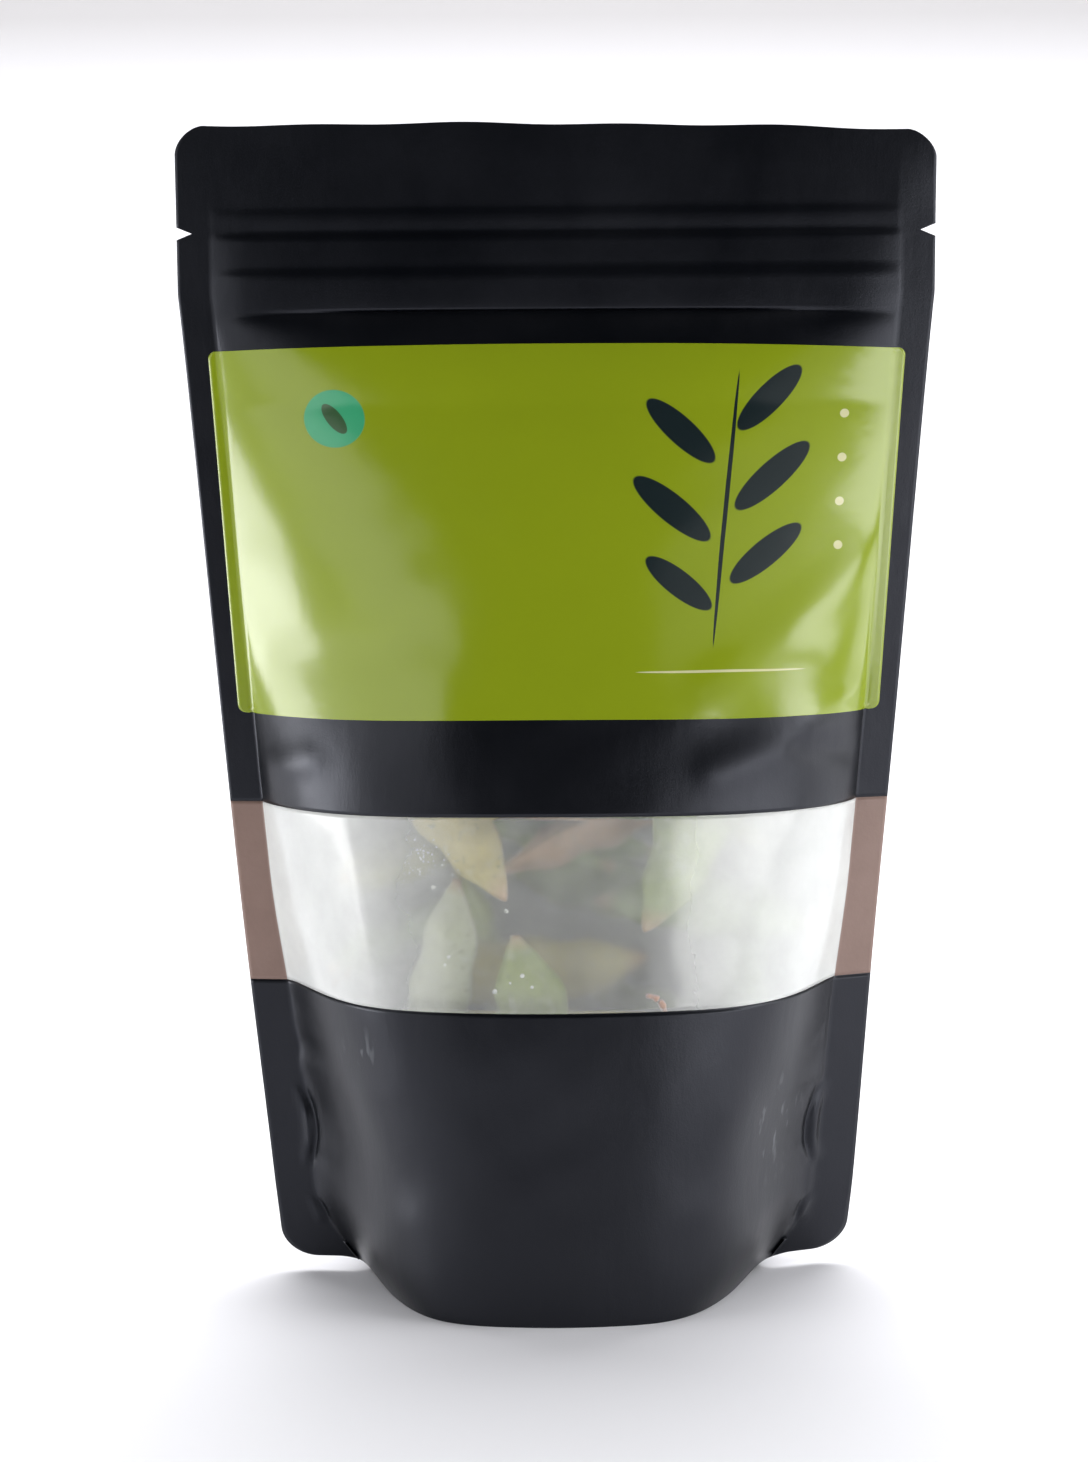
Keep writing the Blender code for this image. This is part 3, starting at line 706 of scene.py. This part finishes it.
def add_films(black, silver, clear, sealed):
    """The front film in three pieces, cut from one sheet, and the back film."""
    across = column_shares()
    ears = corner_heights(EAR_RADIUS, 0.0, 1.0)
    foot = np.concatenate((ears[:-1], spaced(EAR_RADIUS, WINDOW_FOOT, FOOT_ROW)))
    window = spaced(WINDOW_FOOT, WINDOW_HEAD, BAND_ROW)
    below_notch = spaced(WINDOW_HEAD, NOTCH_HEIGHT - NOTCH_HALF_TALL, BAND_ROW)
    notch = NOTCH_HEIGHT + NOTCH_HALF_TALL * np.linspace(-1, 1, 5)
    above = spaced(NOTCH_HEIGHT + NOTCH_HALF_TALL, HEIGHT - TOP_CORNER_RADIUS, HEAD_ROW)
    top = corner_heights(TOP_CORNER_RADIUS, HEIGHT, -1.0)[::-1]
    head = np.concatenate((below_notch, notch[1:-1], above, top[1:]))
    parts = (
        ("front_film_lower", foot, "film_front_lower"),
        ("front_film_window", window, "film_front_window"),
        ("front_film_upper", head, "film_front_upper"),
    )
    heights = np.concatenate((foot, window[1:], head[1:]))
    front = film_points(across, heights, -1)
    row = 0
    for name, rows, replaced in parts:
        points = front[row : row + len(rows)]
        row += len(rows) - 1
        if name == "front_film_window":
            piece = add_grid(name, points, (clear, sealed))
            mark_seals(piece, across, len(rows))
            thicken(outside_first(piece, -1), FILM)
            dress(piece, replaced)
        else:
            piece = add_grid(name, points, (black, silver))
            thicken(outside_first(piece, -1), FILM, 1)
            dress(piece, replaced)
    piece = add_grid("back_film", film_points(across, heights, 1), (black, silver))
    thicken(outside_first(piece, 1), FILM, 1)
    dress(piece, "film_back")


def mark_seals(piece, across, rows):
    """Gives the faces of the window band's side seals their own material."""
    sealed = (np.abs(across[:-1] + across[1:]) / 2 > SEAM).astype(int)
    piece.data.polygons.foreach_set("material_index", np.tile(sealed, rows - 1))


def draw_in(points, edge):
    """Slides each row's points in along the film so that the row ends at this distance from the middle."""
    drawn = points.copy()
    for row, line in enumerate(points):
        along = np.maximum.accumulate(line[:, 0])
        wanted = line[:, 0] * edge[row] / line[-1, 0]
        for axis in range(3):
            drawn[row, :, axis] = np.interp(wanted, along, line[:, axis])
    return drawn


def add_label(sticker):
    low = corner_heights(LABEL_CORNER, LABEL_FOOT, 1.0)
    high = corner_heights(LABEL_CORNER, LABEL_HEAD, -1.0)[::-1]
    heights = np.concatenate((low, spaced(low[-1], high[0], LABEL_ROW)[1:-1], high))
    across = column_shares()
    from_end = np.minimum(heights - LABEL_FOOT, LABEL_HEAD - heights)
    up = (heights - LABEL_FOOT) / (LABEL_HEAD - LABEL_FOOT)
    inset = LABEL_INSET + LABEL_INSET_GROWS * up + corner_cut(from_end, LABEL_CORNER)
    points = draw_in(film_points(across, heights, -1, LABEL_LIFT), half_width(heights) - inset)
    uv = np.stack(np.meshgrid(across / 2 + 0.5, up), axis=-1)
    piece = add_grid("front_label", points, (sticker,), uv)
    thicken(outside_first(piece, -1), LABEL_THICKNESS)
    dress(piece, "label_front")


# The gusset's skirts inside the films, and the panel between them
SKIRT_FOOT = 0.0006
SKIRT_TALL = 0.0045
SKIRT_INSET = 0.0007
SKIRT_REACH = 0.985
SKIRT_ROWS = 6
PANEL_BEGINS = 0.97
PANEL_SLOPE = 0.3
PANEL_FLAT = 0.45
PANEL_NARROWS = 0.07
PANEL_ROWS = 26


def add_gusset(black):
    """Skirt inside each film and the panel between them, finer than the solid and out to the seams."""
    across = column_shares(SEAM * SKIRT_REACH)
    front = sheet_points(across, np.linspace(SKIRT_FOOT, SKIRT_TALL, SKIRT_ROWS), -1)
    front = front - outward(front, -1) * SKIRT_INSET
    rows = [front]
    middle = np.maximum(FILM, SKIRT_TALL - PANEL_SLOPE * np.abs(front[-1][:, 1]))
    for share_out in np.linspace(PANEL_BEGINS, 0.0, PANEL_ROWS):
        z = middle + (SKIRT_TALL - middle) * smooth((share_out - PANEL_FLAT) / (1.0 - PANEL_FLAT))
        stations = across * (1.0 - PANEL_NARROWS * (1.0 - share_out**8))
        at = np.stack([sheet_points(stations, np.array([high]), -1)[0, i] for i, high in enumerate(z)])
        at[:, 1] *= share_out
        at[:, 2] = z + (at[:, 2] - z) * share_out
        rows.append(at[None])
    half = np.concatenate(rows)
    other = half[:-1][::-1] * np.array([1.0, -1.0, 1.0])
    piece = add_grid("base_gusset", np.concatenate((half, other)), (black,))
    mesh = piece.data
    if mesh.polygons[len(mesh.polygons) // 2].normal.z > 0:
        mesh.flip_normals()
    thicken(piece, FILM)
    dress(piece, "gusset_base")


# Pods as in the part's source, with a stem stub, and the window pods' places on the ramp of pod colours
POD_FLATNESS = 0.68
POD_WAIST = 0.86
POD_WAIST_THIN = 0.70
STEM_BLUNTNESS, TIP_BLUNTNESS = 2.6, 2.0
POD_TAPER = 0.8
BEAN_RATE = 1.25
KEEL_HIGH, BACK_HIGH, RIDGE_SHARPNESS = 0.045, 0.025, 24
STUB = 0.0011
STUB_ENDS = -0.9
POD_RINGS, POD_SIDES = 52, 28
WINDOW_TINTS = {"pod_01": 0.47, "pod_02": 1.0, "pod_03": 0.14, "pod_04": 0.10, "pod_05": 0.72}
OTHER_TINTS_TO = 0.45

# Places of the solids' rings along a pod: one that only pods with three beans have, and the last on each side
THREE_BEAN_RING = 0.53
END_RING = 0.93
RING_REACH = 0.03


def pod_frame(name):
    """Reads a pod's length, half width, bend, number of beans and place from its solid."""
    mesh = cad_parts[name].data
    points = np.zeros(len(mesh.vertices) * 3)
    mesh.vertices.foreach_get("co", points)
    points = points.reshape(-1, 3)
    apart = np.linalg.norm(points[:, None] - points[None], axis=2)
    stem, tip = (points[i] for i in np.unravel_index(apart.argmax(), apart.shape))
    length = float(apart.max())
    axis = (tip - stem) / length
    along = (points - (stem + tip) / 2) @ axis / (length / 2)

    def spread(place):
        ring = points[np.abs(along - place) < RING_REACH]
        return np.linalg.norm(ring - ring.mean(axis=0), axis=1).max() if len(ring) > 4 else 0.0

    beans = 3 if spread(THREE_BEAN_RING) > 0 else 2
    if spread(END_RING) > spread(-END_RING):
        stem, tip, axis, along = tip, stem, -axis, -along
    waist = points[np.abs(along) < RING_REACH]
    sag = waist.mean(axis=0) - (stem + tip) / 2
    bend = float(np.linalg.norm(sag))
    width_way = sag / bend
    widest = float(np.abs((waist - waist.mean(axis=0)) @ width_way).max())
    half_wide = widest if beans == 3 else widest / POD_WAIST
    place = Matrix(np.column_stack((axis, np.cross(width_way, axis), width_way)).tolist()).to_4x4()
    place.translation = Vector(stem + tip) / 2 + Vector(width_way) * bend / 2
    return length, half_wide, bend, beans, place


def pod_points(length, half_wide, bend, beans):
    """Rings of points round a pod that lies along x and bends in z, and their UVs."""
    points, uvs = [], []
    for i in range(POD_RINGS + 1):
        along = -1.0 + 2.0 * max(0, i - 1) / (POD_RINGS - 1)
        blunt = STEM_BLUNTNESS if along < 0 else TIP_BLUNTNESS
        taper = max(0.0, 1.0 - abs(along) ** blunt) ** POD_TAPER
        phase = 0.0 if beans == 3 else math.pi
        filled = 0.5 + 0.5 * math.cos(math.pi * beans * along * BEAN_RATE + phase)
        wide = half_wide * taper * (POD_WAIST + (1.0 - POD_WAIST) * filled)
        thick = half_wide * POD_FLATNESS * taper * (POD_WAIST_THIN + (1.0 - POD_WAIST_THIN) * filled)
        if 0 < i and along < STUB_ENDS:
            wide, thick = max(wide, STUB), max(thick, STUB)
        middle = bend * (0.5 - along**2)
        for j in range(POD_SIDES + 1):
            turn = 2 * math.pi * j / POD_SIDES
            keel = KEEL_HIGH * max(0.0, math.cos(turn)) ** RIDGE_SHARPNESS
            back = BACK_HIGH * max(0.0, -math.cos(turn)) ** RIDGE_SHARPNESS
            out = wide * (1.0 + keel + back) * math.cos(turn)
            points.append((along * length / 2, thick * math.sin(turn), middle + out))
            uvs.append((i / POD_RINGS, j / POD_SIDES))
    shape = (POD_RINGS + 1, POD_SIDES + 1, -1)
    return np.array(points).reshape(shape), np.array(uvs).reshape(shape)


def add_pod(name, rng, skin):
    length, half_wide, bend, beans, place = pod_frame(name)
    points, uvs = pod_points(length, half_wide, bend, beans)
    piece = add_grid("fine_" + name, points, (skin,), uvs)
    body = bmesh.new()
    body.from_mesh(piece.data)
    bmesh.ops.remove_doubles(body, verts=body.verts, dist=1e-6)
    bmesh.ops.recalc_face_normals(body, faces=body.faces)
    body.to_mesh(piece.data)
    body.free()
    piece.data.transform(place)
    tint = piece.data.attributes.new("tint", "FLOAT", "POINT")
    random_tint = OTHER_TINTS_TO * rng.random() ** 1.5
    tint.data.foreach_set("value", [WINDOW_TINTS.get(name, random_tint)] * len(piece.data.vertices))
    dress(piece, name)


def add_pods(skin):
    rng = random.Random(7)
    for name in sorted(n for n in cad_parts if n.startswith("pod_")):
        add_pod(name, rng, skin)


def tube(body, points, radius):
    """Adds a round stick through these points, thinner at both ends."""
    rings = []
    for i, point in enumerate(points):
        line = (points[min(i + 1, len(points) - 1)] - points[max(i - 1, 0)]).normalized()
        first = line.orthogonal().normalized()
        second = line.cross(first)
        slim = 0.55 + 0.45 * math.sin(math.pi * (i + 0.5) / len(points))
        thick = radius * slim * (1.0 + 0.18 * math.sin(i * 2.1))
        ring = []
        for j in range(STICK_SIDES):
            turn = 2 * math.pi * j / STICK_SIDES
            ring.append(body.verts.new(point + (first * math.cos(turn) + second * math.sin(turn)) * thick))
        rings.append(ring)
    for low, high in zip(rings, rings[1:]):
        for j in range(STICK_SIDES):
            after = (j + 1) % STICK_SIDES
            body.faces.new((low[j], low[after], high[after], high[j]))
    body.faces.new(rings[0])
    body.faces.new(list(reversed(rings[-1])))


def curved(points, count):
    """A smooth line through three points."""
    start, middle, end = points
    bent = middle * 2 - (start + end) / 2
    shares = [i / (count - 1) for i in range(count)]
    return [start * (1 - t) ** 2 + bent * 2 * t * (1 - t) + end * t**2 for t in shares]


# Loose stem bits and frozen drops just behind the clear film, as (x, z) places and radii. Fine drops lie at
# random in one patch, given as the middle and spread of x and of z
STEM_BITS = (
    (((-0.0443, 0.0735), (-0.0449, 0.0712), (-0.0462, 0.0703)), 0.00042),
    (((-0.0462, 0.0701), (-0.0476, 0.0691), (-0.0482, 0.0678)), 0.00036),
    (((0.0176, 0.0690), (0.0206, 0.0676), (0.0216, 0.0640)), 0.00075),
)
DROPS = (
    (-0.0263, 0.0914, 0.00050),
    (-0.0232, 0.0772, 0.00040),
    (-0.0240, 0.0755, 0.00030),
    (-0.0137, 0.0702, 0.00055),
    (-0.0080, 0.0735, 0.00050),
    (-0.0060, 0.0712, 0.00035),
    (-0.0112, 0.0868, 0.00045),
    (-0.0105, 0.0720, 0.00026),
)
FINE_DROPS = 70
FINE_PATCH = ((-0.0285, 0.0035), (0.0965, 0.0028))
FINE_RADII = (0.00010, 0.00026)
DROP_FLATNESS = 0.6
DROP_GAP = 0.0003
STEM_GAP = 0.0001
STEM_STATIONS = 12
STICK_SIDES = 10


def add_loose_bits(stem, ice):
    body = bmesh.new()
    for places, radius in STEM_BITS:
        line = curved([inside_film(x, z, radius + STEM_GAP) for x, z in places], STEM_STATIONS)
        tube(body, line, radius)
    finish_bits(body, "stem_bits", stem, "pod_02")
    body = bmesh.new()
    rng = random.Random(3)
    drops = list(DROPS)
    for _ in range(FINE_DROPS):
        drops.append((rng.gauss(*FINE_PATCH[0]), rng.gauss(*FINE_PATCH[1]), rng.uniform(*FINE_RADII)))
    flattened = Matrix.Diagonal((1.0, DROP_FLATNESS, 1.0, 1.0))
    for x, z, radius in drops:
        place = Matrix.Translation(inside_film(x, z, DROP_GAP + radius * DROP_FLATNESS))
        bmesh.ops.create_icosphere(body, subdivisions=2, radius=radius, matrix=place @ flattened)
    finish_bits(body, "frozen_drops", ice, "film_front_window")


def finish_bits(body, name, finish, replaced):
    mesh = bpy.data.meshes.new(name)
    bmesh.ops.recalc_face_normals(body, faces=body.faces)
    body.to_mesh(mesh)
    body.free()
    dress(add_mesh(name, mesh, (finish,)), replaced)


# The zip strips: ribbed, and crushed flat near their ends, where the side seals hold them
STRIP_CRUSHED = 0.012
STRIP_HALF_DEEP = 0.00088
STRIP_WALL = 0.0003
STRIP_END_OPEN, STRIP_OPENS_BY = 0.10, 0.80
STRIP_END_STEP, STRIP_STEP, STRIP_ROWS = 0.001, 0.006, 25
RIB_HIGH = 0.00009
RIB_PITCH = 0.0016


def add_zip(plastic):
    for facing, name in ((-1, "zip_strip_front"), (1, "zip_strip_back")):
        lo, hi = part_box(name)
        left = spaced(lo.x, lo.x + STRIP_CRUSHED, STRIP_END_STEP)
        middle = spaced(lo.x + STRIP_CRUSHED, hi.x - STRIP_CRUSHED, STRIP_STEP)[1:-1]
        right = spaced(hi.x - STRIP_CRUSHED, hi.x, STRIP_END_STEP)
        x = np.concatenate((left, middle, right))
        z = np.linspace(lo.z, hi.z, STRIP_ROWS)
        from_end = np.minimum(x - lo.x, hi.x - x)
        opened = STRIP_END_OPEN + STRIP_OPENS_BY * smooth(from_end / STRIP_CRUSHED)
        ribs = STRIP_HALF_DEEP + RIB_HIGH * np.cos((z - (lo.z + hi.z) / 2) * 2 * math.pi / RIB_PITCH)
        y = facing * opened[None, :] * ribs[:, None]
        grid_x, grid_z = np.meshgrid(x, z)
        piece = add_grid("ribbed_" + name, np.stack((grid_x, y, grid_z), axis=-1), (plastic,))
        thicken(outside_first(piece, facing), -STRIP_WALL)
        dress(piece, name)


# Camera, from the photograph's rows: picture width and focal length in pixels, places in metres, and degrees
IMAGE_WIDE = 1088
FOCAL_PIXELS = 3000
SENSOR_WIDE_MM = 36.0
CAMERA_DISTANCE = 0.6405
CAMERA_HEIGHT = 0.2098
CAMERA_PITCH = 8.0
CAMERA_ROLL = -0.35
CAMERA_SIDE = -0.0032


def add_camera():
    data = bpy.data.cameras.new("camera")
    data.sensor_fit = "HORIZONTAL"
    data.sensor_width = SENSOR_WIDE_MM
    data.lens = SENSOR_WIDE_MM * FOCAL_PIXELS / IMAGE_WIDE
    made = bpy.data.objects.new("camera", data)
    pitch = Matrix.Rotation(math.radians(90 - CAMERA_PITCH), 4, "X")
    roll = Matrix.Rotation(math.radians(CAMERA_ROLL), 4, "Z")
    made.matrix_world = Matrix.Translation((CAMERA_SIDE, -CAMERA_DISTANCE, CAMERA_HEIGHT)) @ pitch @ roll
    bpy.context.scene.collection.objects.link(made)
    bpy.context.scene.camera = made


# The sweep under and behind the pouch, and the heights between which it turns from pale to a painted grey
# shade. The grey stands in for the light falling off up the backdrop
SWEEP_HALF_WIDE = 2.2
SWEEP_FRONT = -1.6
SWEEP_BEND = 0.7
SWEEP_RADIUS = 0.6
SWEEP_TOP = 2.4
SWEEP_TONE_AND_PAINTED_SHADE = ((0.30, (0.85, 0.85, 0.89)), (0.39, (0.50, 0.49, 0.50)))


def add_floor():
    """A pale sweep: flat under the pouch and curving up behind it, with painted shade making it greyer toward
    its head, where the light falls off.
    """
    made, tree, shader = nodes_for("pale_sweep")
    height = node(tree, "ShaderNodeSeparateXYZ", {"Vector": object_coords(tree)}).outputs["Z"]
    # Painted shade: the colour turns from pale to grey up the sweep's back, standing in for the light falling
    # off there
    tree.links.new(ramp(tree, height, SWEEP_TONE_AND_PAINTED_SHADE), shader.inputs["Base Color"])
    shader.inputs["Roughness"].default_value = 0.6
    rows = [(y, 0.0) for y in np.linspace(SWEEP_FRONT, SWEEP_BEND, 12)]
    for turn in np.linspace(0, math.pi / 2, 16)[1:]:
        rows.append((SWEEP_BEND + SWEEP_RADIUS * math.sin(turn), SWEEP_RADIUS * (1.0 - math.cos(turn))))
    rows.append((SWEEP_BEND + SWEEP_RADIUS, SWEEP_TOP))
    columns = np.linspace(-SWEEP_HALF_WIDE, SWEEP_HALF_WIDE, 12)
    floor = add_grid("floor", np.array([[(x, y, z) for x in columns] for y, z in rows]), (made,))


# Light cards that face the pouch's middle: angle from the front toward +X, distance, height, size and watts
CARDS = (
    ("left_wide", -50, 0.80, 0.33, (0.8, 0.28), 1.05),
    ("left_wide_low", -50, 0.80, 0.10, (0.8, 0.16), 0.30),
    ("left_side", -80, 0.66, 0.16, (0.34, 0.12), 0.88),
    ("left_low", -80, 0.66, 0.055, (0.34, 0.09), 0.95),
    ("right_wide", 50, 0.80, 0.33, (0.8, 0.28), 0.22),
    ("right_low", 50, 0.80, 0.10, (0.8, 0.16), 2.0),
    ("right_side", 78, 0.66, 0.34, (0.34, 0.24), 1.35),
    ("right_rim", 97, 0.62, 0.15, (0.22, 0.25), 0.40),
)

# Lights for the floor and the sweep: place, target, size and watts
OVERHEAD = (
    ("right_floor", (0.6, -0.1, 0.9), (0.45, -0.15, 0.0), (0.5, 0.5), 2.9),
    ("left_floor", (-0.6, -0.1, 0.9), (-0.45, -0.15, 0.0), (0.5, 0.5), 1.4),
    ("sweep_light", (0.0, 0.8, 1.2), (0.0, 0.25, 0.0), (2.4, 0.7), 37.0),
)
POUCH_MIDDLE = (0, 0, 0.12)


def add_light(name, place, target, size, power):
    data = bpy.data.lights.new(name, "AREA")
    data.shape = "RECTANGLE"
    data.size, data.size_y = size
    data.energy = power
    made = bpy.data.objects.new(name, data)
    made.location = place
    made.rotation_euler = (Vector(target) - Vector(place)).to_track_quat("-Z", "Y").to_euler()
    bpy.context.scene.collection.objects.link(made)


def add_lights():
    """Cards on both sides, and lights for the floor and the sweep."""
    for name, angle, distance, height, size, power in CARDS:
        turn = math.radians(angle)
        place = (distance * math.sin(turn), -distance * math.cos(turn), height)
        add_light(name, place, POUCH_MIDDLE, size, power)
    for name, place, target, size, power in OVERHEAD:
        add_light(name, place, target, size, power)


def add_world():
    """A backdrop that is bright to the camera and lights the pouch only faintly."""
    world = bpy.data.worlds.new("studio")
    world.use_nodes = True
    tree = world.node_tree
    seen = node(tree, "ShaderNodeLightPath").outputs["Is Camera Ray"]
    strength = number(tree, "MULTIPLY_ADD", seen, 0.9, 0.01)
    back = tree.nodes["Background"]
    back.inputs["Color"].default_value = (0.96, 0.97, 1.0, 1.0)
    tree.links.new(strength, back.inputs["Strength"])
    bpy.context.scene.world = world
    bpy.context.scene.view_settings.view_transform = "Standard"


add_camera()
add_floor()
add_lights()
add_world()
black = black_film()
add_films(black, silver_inside(), clear_film(), sealed_clear_film())
add_label(label_print())
add_gusset(black)
add_pods(pod_skin())
add_loose_bits(stem_skin(), ice_bead())
add_zip(zip_plastic())
